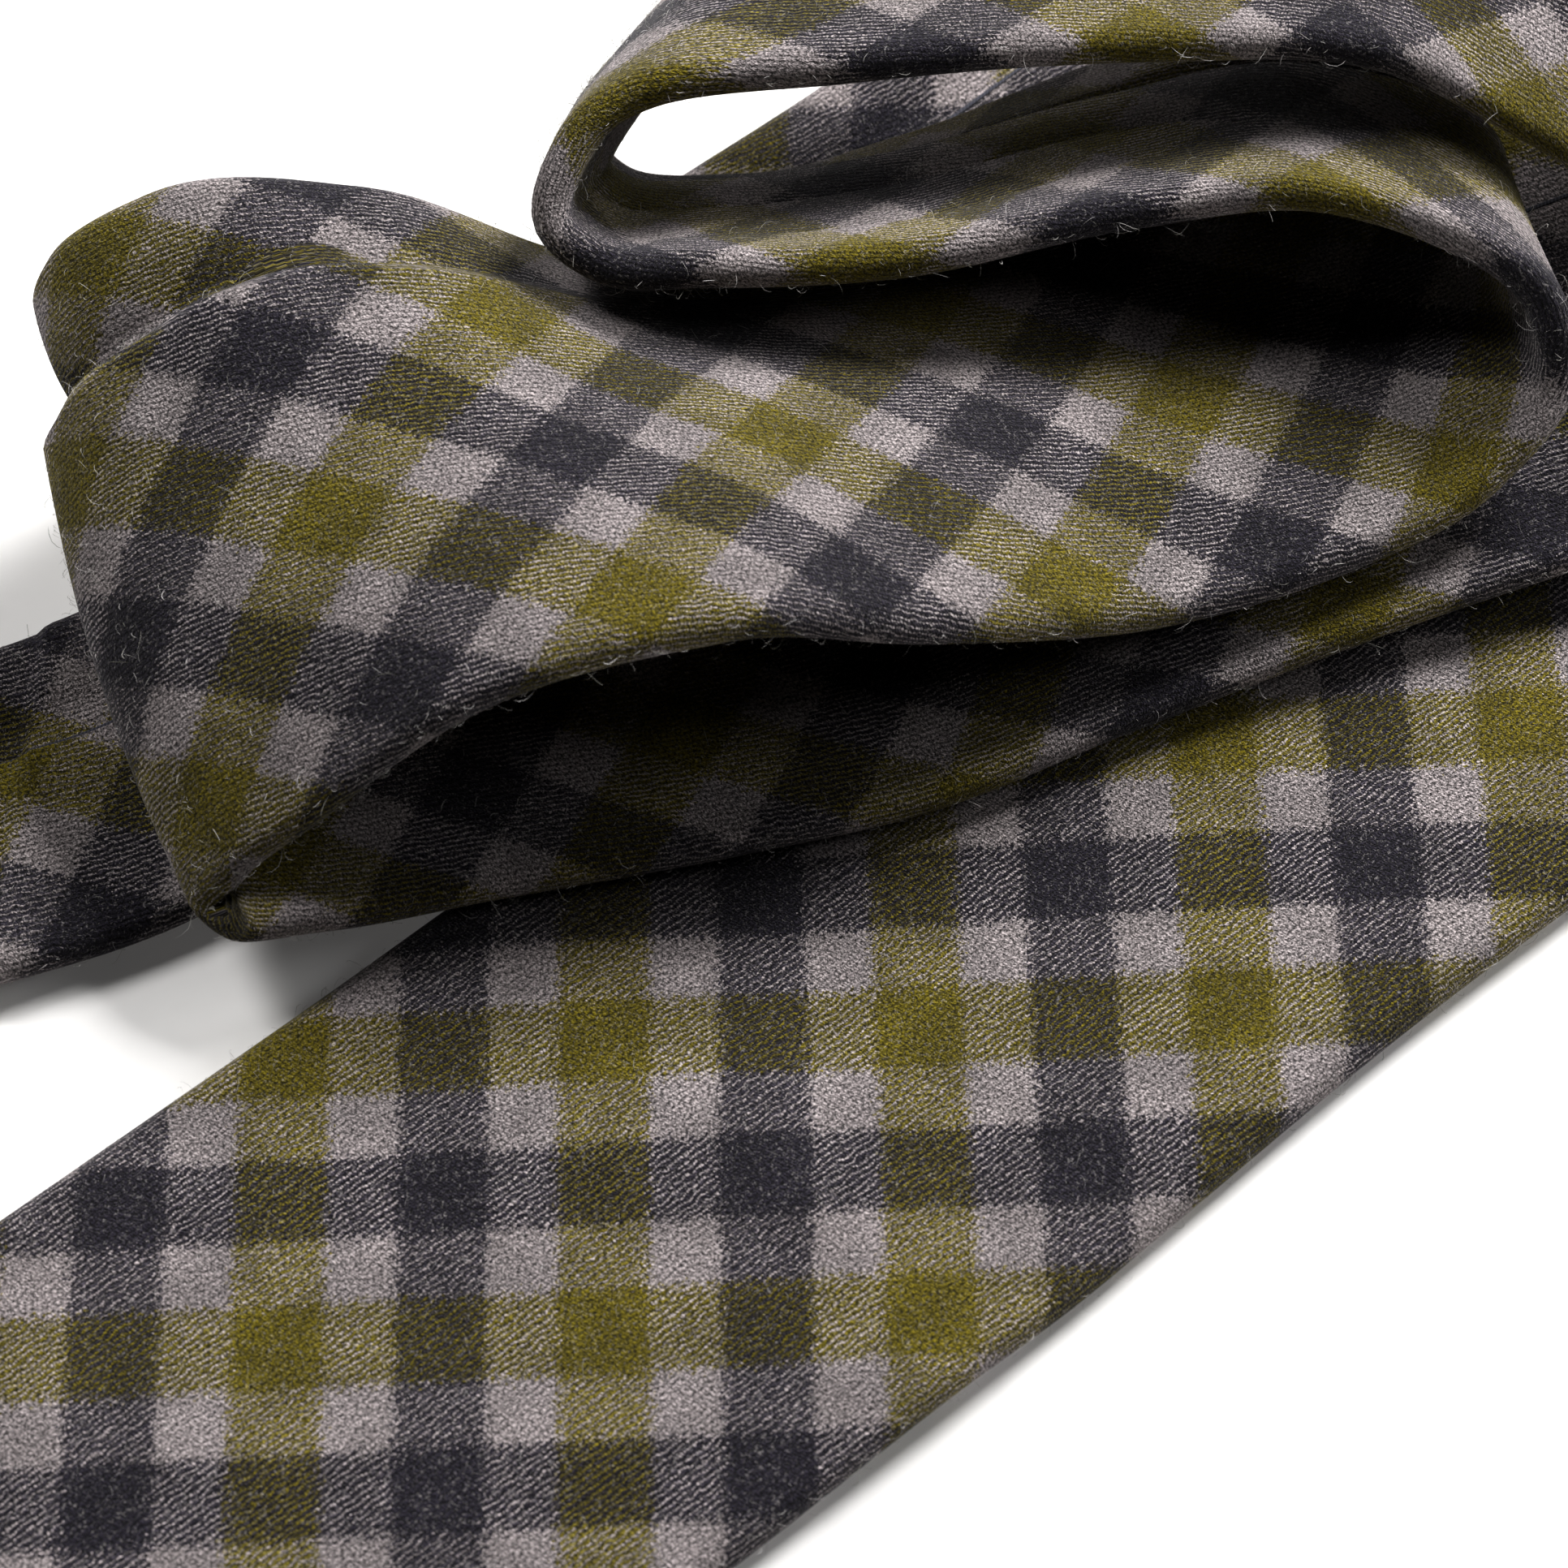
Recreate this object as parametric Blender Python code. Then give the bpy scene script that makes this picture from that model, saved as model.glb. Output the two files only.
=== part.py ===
"""A wool necktie with its three cut lengths, lining and sewn-on pieces, lying in a loose zig-zag pile.

The tie is one long flattened tube. Its route through the pile is given by its two edges, in STATIONS,
from the point of the blade to the point of the tail. Every piece is a section swept along that route,
so each one is drawn flat, across the tie, and the route folds it. Lengths are in millimetres until MM
turns them into metres. +Z is up and the table is z = 0.
"""
import math

import bpy
import numpy as np

MM = 0.001

# The section, across the tie: a folded cloth tube with the lining inside.
THICK = 4.0              # whole tie, back to face
CLOTH = 0.7              # one layer of the flannel
GAP = 0.3                # clearance between neighbouring pieces
CORNER = 1.0             # rounding of the two long edges
CROWN = 0.3              # the face stands this much proud along its middle
LAP = 4.0                # each back flap passes the middle by this much
LINING_LOW = 2.1         # interlining, measured from the back
LINING_HIGH = 2.9
LINING_SIDE = 1.1        # from the tie's edge to the interlining's edge

# Along the tie, measured from the point of the blade.
BLADE_POINT_BLUNT = 1.5  # half width of the blunt nose of each point
HEM = 9.0                # turned hem at the open back of each end
BLADE_OPEN = 66.0        # the back stays open this far from the blade's point
TAIL_OPEN = 44.0         # and this far from the tail's point
OPEN_SLOPE = 0.62        # how fast the two flaps of the back part towards the hem
TIP_HINGE = 75.0         # where the blade's end curls
BLADE_HINGE = 120.0      # where the blade lifts off the table
BLADE_SEAM = 930.0       # bias seam between the blade and the neck
TAIL_SEAM = 1163.0       # bias seam between the neck and the tail
TAIL_HINGE_BACK = 240.0  # where the tail lifts, from the tail's point
TAIL_TIP_BACK = 110.0    # where the tail's end curls, from the tail's point
SEAM_WIDTH = 0.4
CUT = 0.6                # space between two lengths of cloth at a hinge

# Sewn-on pieces.
KEEPER_AT = 160.0
KEEPER_WIDE = 12.0
KEEPER_HALF = 22.0
KEEPER_LOW = -0.9
KEEPER_HIGH = -0.3

# Spacing of the rings that a sweep is made of.
RING_STEP = 13.0
RING_BEND = math.radians(21.0)
RING_TWIST = math.radians(6.0)

# The route: the near edge and the far edge at each station, as (x, y, z).
BLADE_HEADING = math.radians(38.5)
BLADE_AXIS = (16.5, -20.8)


def blade_station(along, near_half, far_half, height):
    """The two edges of the straight, flat blade at a distance along its heading."""
    ahead = (math.cos(BLADE_HEADING), math.sin(BLADE_HEADING))
    x = BLADE_AXIS[0] + along * ahead[0]
    y = BLADE_AXIS[1] + along * ahead[1]
    near = (x + near_half * ahead[1], y - near_half * ahead[0], height)
    far = (x - far_half * ahead[1], y + far_half * ahead[0], height)
    return near, far


UP = THICK / 2            # height of the middle of the cloth where it rests face up on the table
DOWN = THICK / 2 + CROWN  # and where it rests face down

STATIONS = [
    # blade, face up on the table, over its own keeper loop
    blade_station(-190, 35.5, 34.5, UP),
    blade_station(-150, 35.8, 34.6, UP),
    blade_station(-115, 35.6, 34.6, UP),
    blade_station(-70, 35.0, 34.6, UP),
    blade_station(-50, 34.8, 34.6, UP + 0.2),
    blade_station(-30, 34.6, 34.6, UP + 1.0),
    blade_station(-12, 34.4, 34.8, UP),
    blade_station(-4, 34.0, 34.9, UP),
    blade_station(30, 32.4, 35.0, UP),
    blade_station(60, 32.4, 35.0, UP),
    # it swings away from the near side, and folds back over itself
    ((100.0, 4.5, UP), (56.0, 57.0, UP)),
    ((114.0, 18.0, 2.45), (71.0, 74.0, 2.45)),
    ((122.0, 26.5, 4.5), (82.0, 87.0, 4.5)),
    ((126.0, 31.5, 9.0), (88.0, 93.0, 10.0)),
    ((121.5, 31.5, 13.2), (84.0, 93.0, 16.0)),
    ((108.0, 28.5, 12.5), (73.0, 90.5, 14.5)),
    # back side up, running left over the blade
    ((77.3, 18.8, 9.5), (56.0, 86.0, 8.0)),
    ((58.5, 12.0, 8.5), (36.0, 78.0, 7.0)),
    ((34.4, 2.1, 7.4), (12.0, 68.0, 7.0)),
    ((14.4, -6.9, 7.4), (-8.0, 59.5, 7.0)),
    ((-5.2, -12.0, 7.4), (-27.0, 54.5, 7.5)),
    ((-28.5, -17.0, 7.6), (-50.0, 49.0, 10.5)),
    ((-44.0, -20.9, 7.2), (-66.0, 44.0, 14.0)),
    # left fold, up and over, low at the near edge and high at the far edge
    ((-53.0, -22.3, 7.2), (-73.5, 41.5, 18.5)),
    ((-56.6, -21.0, 10.5), (-76.0, 41.0, 24.0)),
    ((-53.0, -18.6, 14.5), (-72.5, 43.0, 29.5)),
    # face up, an arch that runs right and comes down
    ((-44.0, -14.6, 19.5), (-61.0, 47.5, 31.5)),
    ((-28.0, -8.0, 29.0), (-43.0, 50.5, 24.5)),
    ((-5.0, -2.0, 32.0), (-22.0, 51.5, 12.6)),
    ((14.2, 1.5, 25.5), (-1.0, 54.0, 11.6)),
    ((38.1, 9.3, 15.6), (22.0, 60.5, 11.5)),
    ((58.3, 17.3, 14.5), (42.0, 67.0, 11.8)),
    # right curl, up and over
    ((70.0, 24.0, 17.0), (57.0, 72.0, 12.5)),
    ((76.0, 30.5, 22.5), (66.0, 73.0, 16.0)),
    ((74.5, 35.0, 29.5), (67.0, 74.5, 21.5)),
    ((66.0, 40.5, 33.5), (60.0, 77.5, 22.5)),
    ((54.4, 45.5, 33.5), (50.0, 79.5, 19.5)),
    # back side up, leaning away from the near side
    ((34.7, 45.5, 32.0), (31.0, 77.0, 12.0)),
    ((10.7, 40.0, 31.5), (12.0, 68.5, 11.4)),
    ((-8.0, 39.5, 31.0), (-4.0, 65.0, 9.5)),
    # left turn, up and over
    ((-17.0, 40.6, 30.0), (-16.0, 66.0, 9.5)),
    ((-21.8, 43.6, 31.6), (-20.0, 70.0, 11.5)),
    ((-20.6, 49.4, 35.4), (-12.5, 78.5, 17.0)),
    ((-14.0, 54.7, 37.8), (0.0, 87.0, 25.0)),
    # face up along the top of the pile
    ((6.6, 57.3, 39.0), (12.0, 91.0, 28.0)),
    ((38.4, 59.5, 39.5), (40.0, 94.0, 29.0)),
    # it drops over the right side and swings round behind the pile, standing on one edge
    ((58.4, 58.8, 38.5), (64.0, 93.5, 31.5)),
    ((74.0, 53.0, 33.0), (83.0, 87.0, 37.0)),
    ((85.0, 51.5, 25.5), (95.0, 82.0, 43.0)),
    ((99.0, 62.0, 20.5), (100.0, 86.0, 47.0)),
    ((107.0, 82.0, 15.0), (101.0, 97.0, 48.0)),
    ((103.0, 100.0, 8.0), (96.0, 113.0, 41.0)),
    ((88.0, 104.0, 3.5), (83.0, 125.0, 31.0)),
    # back side up on the table, running left under the pile
    ((67.0, 91.0, 2.6), (57.0, 122.0, 9.0)),
    ((46.0, 74.0, DOWN), (29.0, 104.5, DOWN)),
    ((26.0, 56.5, DOWN), (4.0, 83.0, DOWN)),
    ((5.0, 37.5, DOWN), (-17.5, 66.0, DOWN)),
    ((-13.0, 24.0, DOWN), (-37.5, 49.5, DOWN)),
    ((-36.0, 1.0, DOWN), (-54.0, 32.0, DOWN)),
    ((-57.6, -16.3, DOWN), (-71.8, 16.8, DOWN)),
    ((-75.0, -23.5, DOWN), (-87.0, 10.5, DOWN)),
    # tail, running out to the left
    ((-116.0, -38.0, DOWN), (-126.0, -2.5, DOWN)),
    ((-165.0, -52.0, DOWN), (-173.0, -15.0, DOWN)),
    ((-215.0, -63.0, DOWN), (-221.0, -25.0, DOWN)),
    ((-262.0, -71.0, DOWN), (-266.0, -32.0, DOWN)),
    ((-304.0, -76.5, DOWN), (-307.0, -37.0, DOWN)),
    ((-346.0, -80.0, DOWN), (-348.5, -40.0, DOWN)),
    ((-388.0, -82.0, DOWN), (-390.0, -42.0, DOWN)),
]


def clear_scene():
    """Removes whatever objects the file opened with."""
    for thing in list(bpy.data.objects):
        bpy.data.objects.remove(thing)


def smooth_step(value, low, high):
    """0 below low, 1 above high, and a smooth rise between."""
    share = min(1.0, max(0.0, (value - low) / (high - low)))
    return share * share * (3.0 - 2.0 * share)


class Route:
    """The two edges of the tie as smooth curves through the stations, measured along the middle."""

    SUB = 24

    def __init__(self, stations):
        near = np.array([pair[0] for pair in stations], float)
        far = np.array([pair[1] for pair in stations], float)
        middle = (near + far) / 2
        knots = np.concatenate([[0.0], np.cumsum(np.linalg.norm(np.diff(middle, axis=0), axis=1))])
        self.near = self.curve(knots, near)
        self.far = self.curve(knots, far)
        steps = np.linalg.norm(np.diff((self.near + self.far) / 2, axis=0), axis=1)
        self.length_at = np.concatenate([[0.0], np.cumsum(steps)])
        self.length = float(self.length_at[-1])

    def curve(self, knots, points):
        """Points along a smooth cubic through the stations that never dips below a level run."""
        slopes = np.gradient(points, knots, axis=0)
        rise = np.diff(points[:, 2])
        slopes[1:-1, 2] *= rise[:-1] * rise[1:] > 0.0
        made = []
        for i in range(len(knots) - 1):
            span = knots[i + 1] - knots[i]
            for step in range(self.SUB):
                t = step / self.SUB
                made.append(
                    (2 * t**3 - 3 * t**2 + 1) * points[i]
                    + (t**3 - 2 * t**2 + t) * span * slopes[i]
                    + (3 * t**2 - 2 * t**3) * points[i + 1]
                    + (t**3 - t**2) * span * slopes[i + 1]
                )
        made.append(points[-1])
        return np.array(made)

    def edges(self, along):
        """The near and far edge at a distance from the blade's point."""
        near = np.array([np.interp(along, self.length_at, self.near[:, k]) for k in range(3)])
        far = np.array([np.interp(along, self.length_at, self.far[:, k]) for k in range(3)])
        return near, far

    def frame(self, along):
        """Middle, direction towards the near edge, direction of the face, and half the width."""
        near, far = self.edges(along)
        ahead = sum(self.edges(along + 1.5)) / 2 - sum(self.edges(along - 1.5)) / 2
        across = near - far
        half = float(np.linalg.norm(across)) / 2
        across = across / np.linalg.norm(across)
        face = np.cross(across, ahead)
        face = face / np.linalg.norm(face)
        return (near + far) / 2, across, face, half

    def half_width(self, along):
        """Half the width, coming to a blunt right-angled point at both ends."""
        from_end = min(along, self.length - along)
        return min(self.frame(along)[3], from_end + BLADE_POINT_BLUNT)

    def place(self, along, u, v):
        """The point u across (near side positive) and v up from the back, in metres."""
        middle, across, face, _ = self.frame(along)
        return (middle + u * across + (v - THICK / 2) * face) * MM

    def rings(self, start, stop):
        """Distances of the rings of a sweep. All sweeps share them, so neighbours keep their gaps."""
        return [start] + [mark for mark in self.marks if start + 0.01 < mark < stop - 0.01] + [stop]

    def set_marks(self, ends):
        """Marks every end of a piece, and between those even steps, closer where the tie bends or twists."""
        marks = [0.0]
        _, _, face, _ = self.frame(0.0)
        for stop in sorted(ends):
            here = marks[-1]
            while here < stop - 1.5:
                here += 0.5
                _, across, face_here, _ = self.frame(here)
                bent = face @ face_here < math.cos(RING_BEND)
                twisted = abs(across @ face) > math.sin(RING_TWIST)
                if here - marks[-1] >= RING_STEP or bent or twisted:
                    marks.append(here)
                    face = face_here
            marks.append(stop)
            _, _, face, _ = self.frame(stop)
        self.marks = marks


ROUTE = Route(STATIONS)
TAIL_TIP = ROUTE.length - TAIL_TIP_BACK
TAIL_HINGE = ROUTE.length - TAIL_HINGE_BACK

PIECE_ENDS = [KEEPER_AT - KEEPER_WIDE / 2, KEEPER_AT + KEEPER_WIDE / 2, ROUTE.length]
for cut in (TIP_HINGE, BLADE_HINGE, TAIL_HINGE, TAIL_TIP):
    PIECE_ENDS += [cut - CUT / 2, cut + CUT / 2]
for seam in (BLADE_SEAM, TAIL_SEAM):
    for reach in (SEAM_WIDTH / 2, SEAM_WIDTH / 2 + GAP):
        PIECE_ENDS += [seam - reach, seam + reach]
ROUTE.set_marks(PIECE_ENDS)


def opening(along):
    """Half the space between the two back flaps; negative where they overlap."""
    from_blade = along
    from_tail = ROUTE.length - along
    if from_blade < from_tail:
        end, reach = from_blade, BLADE_OPEN
    else:
        end, reach = from_tail, TAIL_OPEN
    half = ROUTE.half_width(along)
    parted = min(half - HEM, (reach - end) * OPEN_SLOPE)
    parted = max(parted, 0.3 * min(half, 2.0)) if end < reach - 2 else 0.6
    lapped = smooth_step(end, reach + 5.0, reach + 17.0)
    return parted * (1.0 - lapped) - LAP * lapped


def flap_lift(along):
    """How far the inner back flap has risen over the outer one: 0 at the open ends, 1 elsewhere."""
    from_blade = smooth_step(along, BLADE_OPEN - 11.0, BLADE_OPEN - 2.0)
    from_tail = smooth_step(ROUTE.length - along, TAIL_OPEN - 11.0, TAIL_OPEN - 2.0)
    return min(from_blade, from_tail)


def shell_section(along):
    """The cloth tube: outside from one back flap round to the other, then back along the inside."""
    half = ROUTE.half_width(along)
    gap = opening(along)
    corner = min(CORNER, 0.4 * half)
    lift = flap_lift(along) * (CLOTH + GAP)
    room = half - corner - abs(gap)
    step_in = abs(gap) + min(4.0, 0.4 * room)
    step_out = step_in + min(1.5, 0.2 * room)
    top = THICK - CLOTH
    inside = half - CLOTH
    return [
        (gap, 0.0),
        (half - corner, 0.0),
        (half, corner),
        (half, THICK - corner),
        (half - corner, THICK),
        (0.0, THICK + CROWN),
        (-half + corner, THICK),
        (-half, THICK - corner),
        (-half, corner),
        (-half + corner, 0.0),
        (-step_out, 0.0),
        (-step_in, lift),
        (-gap, lift),
        (-gap, lift + CLOTH),
        (-step_in, lift + CLOTH),
        (-step_out, CLOTH),
        (-inside, CLOTH),
        (-inside, top),
        (0.0, top + CROWN),
        (inside, top),
        (inside, CLOTH),
        (gap, CLOTH),
    ]


def plate_section(low, high, inset):
    """A strip as wide as the tie less an inset at each edge, between two heights over the back.

    Its points across the tie match the tube's, so the two stay parallel where the tie twists.
    """
    def section(along):
        half = ROUTE.half_width(along) - inset
        left = -half * 0.5 if opening(along) > 0.0 else -2.0 * LAP
        right = half * 0.5 if opening(along) > 0.0 else LAP
        return [(-half, low), (left, low), (right, low), (half, low), (half, high), (0.0, high),
                (-half, high)]
    return section


def bar_section(low, high, left, right):
    """A strip between two fixed places across the tie."""
    return lambda along: [(left, low), (right, low), (right, high), (left, high)]


def new_material(name, color, roughness):
    """A plain Principled material."""
    material = bpy.data.materials.new(name)
    material.use_nodes = True
    shader = material.node_tree.nodes["Principled BSDF"]
    shader.inputs["Base Color"].default_value = (*color, 1.0)
    shader.inputs["Roughness"].default_value = roughness
    shader.inputs["Metallic"].default_value = 0.0
    return material


FLANNEL = (0.16, 0.16, 0.10)
WADDING = (0.72, 0.70, 0.64)
SATIN = (0.05, 0.05, 0.07)
THREAD = (0.10, 0.10, 0.13)
TAPE = (0.62, 0.60, 0.55)


def build_mesh(name, rings, rightward, color, roughness, pivot):
    """A closed solid from rings of points, its origin on the pivot.

    Every side face is split along the same diagonal, so that parallel layers stay parallel.
    """
    offset = np.array(pivot)
    count = len(rings[0])
    vertices = [tuple(point - offset) for ring in rings for point in ring]
    faces = [tuple(range(count))]
    for i in range(len(rings) - 1):
        here = i * count
        ahead = here + count
        for j in range(count):
            k = (j + 1) % count
            if rightward[j]:
                faces.append((here + j, ahead + j, ahead + k))
                faces.append((here + j, ahead + k, here + k))
            else:
                faces.append((here + j, ahead + j, here + k))
                faces.append((ahead + j, ahead + k, here + k))
    last = (len(rings) - 1) * count
    faces.append(tuple(last + j for j in reversed(range(count))))
    mesh = bpy.data.meshes.new(name)
    mesh.from_pydata(vertices, [], faces)
    mesh.update()
    mesh.materials.append(new_material(name, color, roughness))
    thing = bpy.data.objects.new(name, mesh)
    bpy.context.scene.collection.objects.link(thing)
    thing.location = pivot
    return thing


def sweep(name, section, start, stop, color, pivot=(0.0, 0.0, 0.0), roughness=0.95):
    """Draws a section at every ring between two distances and joins them into one solid."""
    rings = []
    for along in ROUTE.rings(start, stop):
        rings.append([ROUTE.place(along, u, v) for u, v in section(along)])
    outline = section((start + stop) / 2)
    rightward = [outline[(j + 1) % len(outline)][0] > outline[j][0] for j in range(len(outline))]
    return build_mesh(name, rings, rightward, color, roughness, pivot)


def hinge_pivot(along, height):
    """The hinge line's middle: on the upper side of the tie, between the two lengths of cloth."""
    return tuple(ROUTE.place(along, 0.0, height))


def cloth_lengths(pivots):
    """The outer cloth: blade, neck and tail, parted at the seams and at the hinges."""
    end = ROUTE.length
    half_cut = CUT / 2
    seam_room = SEAM_WIDTH / 2 + GAP
    sweep("blade_tip_cloth", shell_section, 0.0, TIP_HINGE - half_cut, FLANNEL, pivots["blade_tip"])
    sweep("blade_end_cloth", shell_section, TIP_HINGE + half_cut, BLADE_HINGE - half_cut, FLANNEL,
          pivots["blade_end"])
    sweep("blade_cloth", shell_section, BLADE_HINGE + half_cut, BLADE_SEAM - seam_room, FLANNEL)
    sweep("neck_cloth", shell_section, BLADE_SEAM + seam_room, TAIL_SEAM - seam_room, FLANNEL)
    sweep("tail_cloth", shell_section, TAIL_SEAM + seam_room, TAIL_HINGE - half_cut, FLANNEL)
    sweep("tail_end_cloth", shell_section, TAIL_HINGE + half_cut, TAIL_TIP - half_cut, FLANNEL,
          pivots["tail_end"])
    sweep("tail_tip_cloth", shell_section, TAIL_TIP + half_cut, end, FLANNEL, pivots["tail_tip"])


def join_seams():
    """The turned allowances of the two bias seams, each a thin band in the tube's own section."""
    half = SEAM_WIDTH / 2
    sweep("blade_neck_seam", shell_section, BLADE_SEAM - half, BLADE_SEAM + half, THREAD)
    sweep("neck_tail_seam", shell_section, TAIL_SEAM - half, TAIL_SEAM + half, THREAD)


def lining_lengths(pivots):
    """The woollen interlining that gives the tie its body, parted only at the hinges."""
    section = plate_section(LINING_LOW, LINING_HIGH, LINING_SIDE)
    end = ROUTE.length
    clear = 6.0
    half_cut = CUT / 2
    sweep("blade_tip_interlining", section, clear, TIP_HINGE - half_cut, WADDING, pivots["blade_tip"])
    sweep("blade_end_interlining", section, TIP_HINGE + half_cut, BLADE_HINGE - half_cut, WADDING,
          pivots["blade_end"])
    sweep("interlining", section, BLADE_HINGE + half_cut, TAIL_HINGE - half_cut, WADDING)
    sweep("tail_end_interlining", section, TAIL_HINGE + half_cut, TAIL_TIP - half_cut, WADDING,
          pivots["tail_end"])
    sweep("tail_tip_interlining", section, TAIL_TIP + half_cut, end - clear, WADDING,
          pivots["tail_tip"])


def slip_stitches(pivots):
    """The one long slack thread that closes the back, lying beside the outer flap."""
    left = -LAP - 1.4
    right = -LAP - 0.4
    section = bar_section(0.2, 0.7, left, right)
    half_cut = CUT / 2
    sweep("blade_end_slip_stitch", section, BLADE_OPEN + 22.0, BLADE_HINGE - half_cut, THREAD,
          pivots["blade_end"])
    sweep("slip_stitch", section, BLADE_HINGE + half_cut, TAIL_HINGE - half_cut, THREAD)
    sweep("tail_end_slip_stitch", section, TAIL_HINGE + half_cut, TAIL_TIP - half_cut - 1.0, THREAD,
          pivots["tail_end"])


def tippings(pivots):
    """The satin facing inside each open end, and a blank tape label on each."""
    facing = plate_section(1.1, 1.5, 1.3)
    end = ROUTE.length
    sweep("blade_tipping", facing, 5.0, BLADE_OPEN - 14.0, SATIN, pivots["blade_tip"], 0.45)
    sweep("tail_tipping", facing, end - TAIL_OPEN + 14.0, end - 5.0, SATIN, pivots["tail_tip"], 0.45)
    sweep("blank_label", bar_section(0.45, 0.8, -14.0, 14.0), 27.0, 36.0, TAPE, pivots["blade_tip"])
    sweep("care_tape", bar_section(0.45, 0.8, -4.5, 4.5), end - 25.0, end - 17.0, TAPE,
          pivots["tail_tip"])


def bar_tacks(pivots):
    """The whipped stitch that closes the top of the opening at each end."""
    tack = bar_section(0.1, 0.6, -2.4, 2.4)
    end = ROUTE.length
    sweep("blade_bar_tack", tack, BLADE_OPEN - 6.4, BLADE_OPEN - 5.2, THREAD, pivots["blade_tip"])
    sweep("tail_bar_tack", tack, end - TAIL_OPEN + 5.2, end - TAIL_OPEN + 6.4, THREAD,
          pivots["tail_tip"])


def keeper():
    """The strap across the back of the blade that holds the tail, and the stitches at its ends."""
    start = KEEPER_AT - KEEPER_WIDE / 2
    stop = KEEPER_AT + KEEPER_WIDE / 2
    strap = bar_section(KEEPER_LOW, KEEPER_HIGH, -KEEPER_HALF, KEEPER_HALF)
    sweep("keeper_loop", strap, start, stop, FLANNEL)
    for name, side in (("keeper_stitch_near", 1.0), ("keeper_stitch_far", -1.0)):
        inner = side * (KEEPER_HALF + GAP)
        outer = side * (KEEPER_HALF + GAP + 0.6)
        sweep(name, bar_section(KEEPER_LOW, KEEPER_HIGH, min(inner, outer), max(inner, outer)),
              start + 1.0, stop - 1.0, THREAD)


def main():
    clear_scene()
    face = THICK + CROWN
    back = 0.0
    pivots = {
        "blade_tip": hinge_pivot(TIP_HINGE, face),
        "blade_end": hinge_pivot(BLADE_HINGE, face),
        "tail_end": hinge_pivot(TAIL_HINGE, back),
        "tail_tip": hinge_pivot(TAIL_TIP, back),
    }
    cloth_lengths(pivots)
    join_seams()
    lining_lengths(pivots)
    slip_stitches(pivots)
    tippings(pivots)
    bar_tacks(pivots)
    keeper()


main()
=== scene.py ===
"""Looks of the wool necktie: brushed block-check flannel lying in a loose zig-zag pile.

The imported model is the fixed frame. Every visible length of cloth is a fine closed tube swept along the
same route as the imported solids, with rolled edges, creases and a lapped back seam. The check, the twill
and the nap are drawn in thread coordinates carried by the mesh, so they follow the cloth round its folds.
Lengths are in millimetres until MM turns them into metres. +Z is up and the table is z = 0.
"""
import math

import bpy
import numpy as np
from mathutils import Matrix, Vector


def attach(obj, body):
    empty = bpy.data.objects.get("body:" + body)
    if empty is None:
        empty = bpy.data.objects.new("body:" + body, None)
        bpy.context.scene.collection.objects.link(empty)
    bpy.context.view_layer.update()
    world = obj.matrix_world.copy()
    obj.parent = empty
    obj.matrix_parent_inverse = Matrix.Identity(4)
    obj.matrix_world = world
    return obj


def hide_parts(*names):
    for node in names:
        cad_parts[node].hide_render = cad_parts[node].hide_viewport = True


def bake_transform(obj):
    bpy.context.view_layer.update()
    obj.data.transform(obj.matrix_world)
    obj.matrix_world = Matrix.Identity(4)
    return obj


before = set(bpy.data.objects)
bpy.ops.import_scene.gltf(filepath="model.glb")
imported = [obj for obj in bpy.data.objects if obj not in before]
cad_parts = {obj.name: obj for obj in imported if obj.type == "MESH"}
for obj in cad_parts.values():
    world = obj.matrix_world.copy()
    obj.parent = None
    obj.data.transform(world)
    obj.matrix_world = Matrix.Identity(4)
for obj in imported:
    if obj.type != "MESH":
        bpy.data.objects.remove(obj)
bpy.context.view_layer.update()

MM = 0.001

# The section, across the tie.
THICK = 4.0              # whole tie, back to face
CLOTH = 0.7              # one layer of the flannel
GAP = 0.3                # clearance between neighbouring layers
CROWN = 0.3              # the face stands this much proud along its middle
LAP = 4.0                # each back flap passes the middle by this much
LINING_LOW = 2.1         # interlining, measured from the back
LINING_HIGH = 2.9
LINING_SIDE = 1.6        # from the tie's edge to the interlining's edge
POINT_BLUNT = 1.5        # half width of the blunt nose of each point
HEM = 9.0                # turned hem at the open back of each end
BLADE_OPEN = 66.0        # the back stays open this far from the blade's point
TAIL_OPEN = 44.0         # and this far from the tail's point
OPEN_SLOPE = 0.62        # how fast the two flaps of the back part towards the hem

# Along the tie, measured from the point of the blade.
TIP_HINGE = 75.0         # where the blade's end curls
BLADE_SEAM = 930.0       # bias seam between the blade and the neck
TAIL_SEAM = 1163.0       # bias seam between the neck and the tail
TAIL_HINGE_BACK = 240.0  # where the tail lifts, from the tail's point
TAIL_TIP_BACK = 110.0    # where the tail's end curls, from the tail's point
TABLE_END = 1600.0       # tables of shape are worked out this far, past the tail's point
ROUNDING = 10.0          # and their corners are rounded over about this length

# The route: the near edge and the far edge at each station, as (x, y, z).
BLADE_HEADING = math.radians(38.5)
BLADE_AXIS = (16.5, -20.8)


def blade_station(along, near_half, far_half, height):
    """The two edges of the straight, flat blade at a distance along its heading."""
    ahead = (math.cos(BLADE_HEADING), math.sin(BLADE_HEADING))
    x = BLADE_AXIS[0] + along * ahead[0]
    y = BLADE_AXIS[1] + along * ahead[1]
    near = (x + near_half * ahead[1], y - near_half * ahead[0], height)
    far = (x - far_half * ahead[1], y + far_half * ahead[0], height)
    return near, far


UP = THICK / 2            # height of the middle of the cloth where it rests face up on the table
DOWN = THICK / 2 + CROWN  # and where it rests face down

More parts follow.
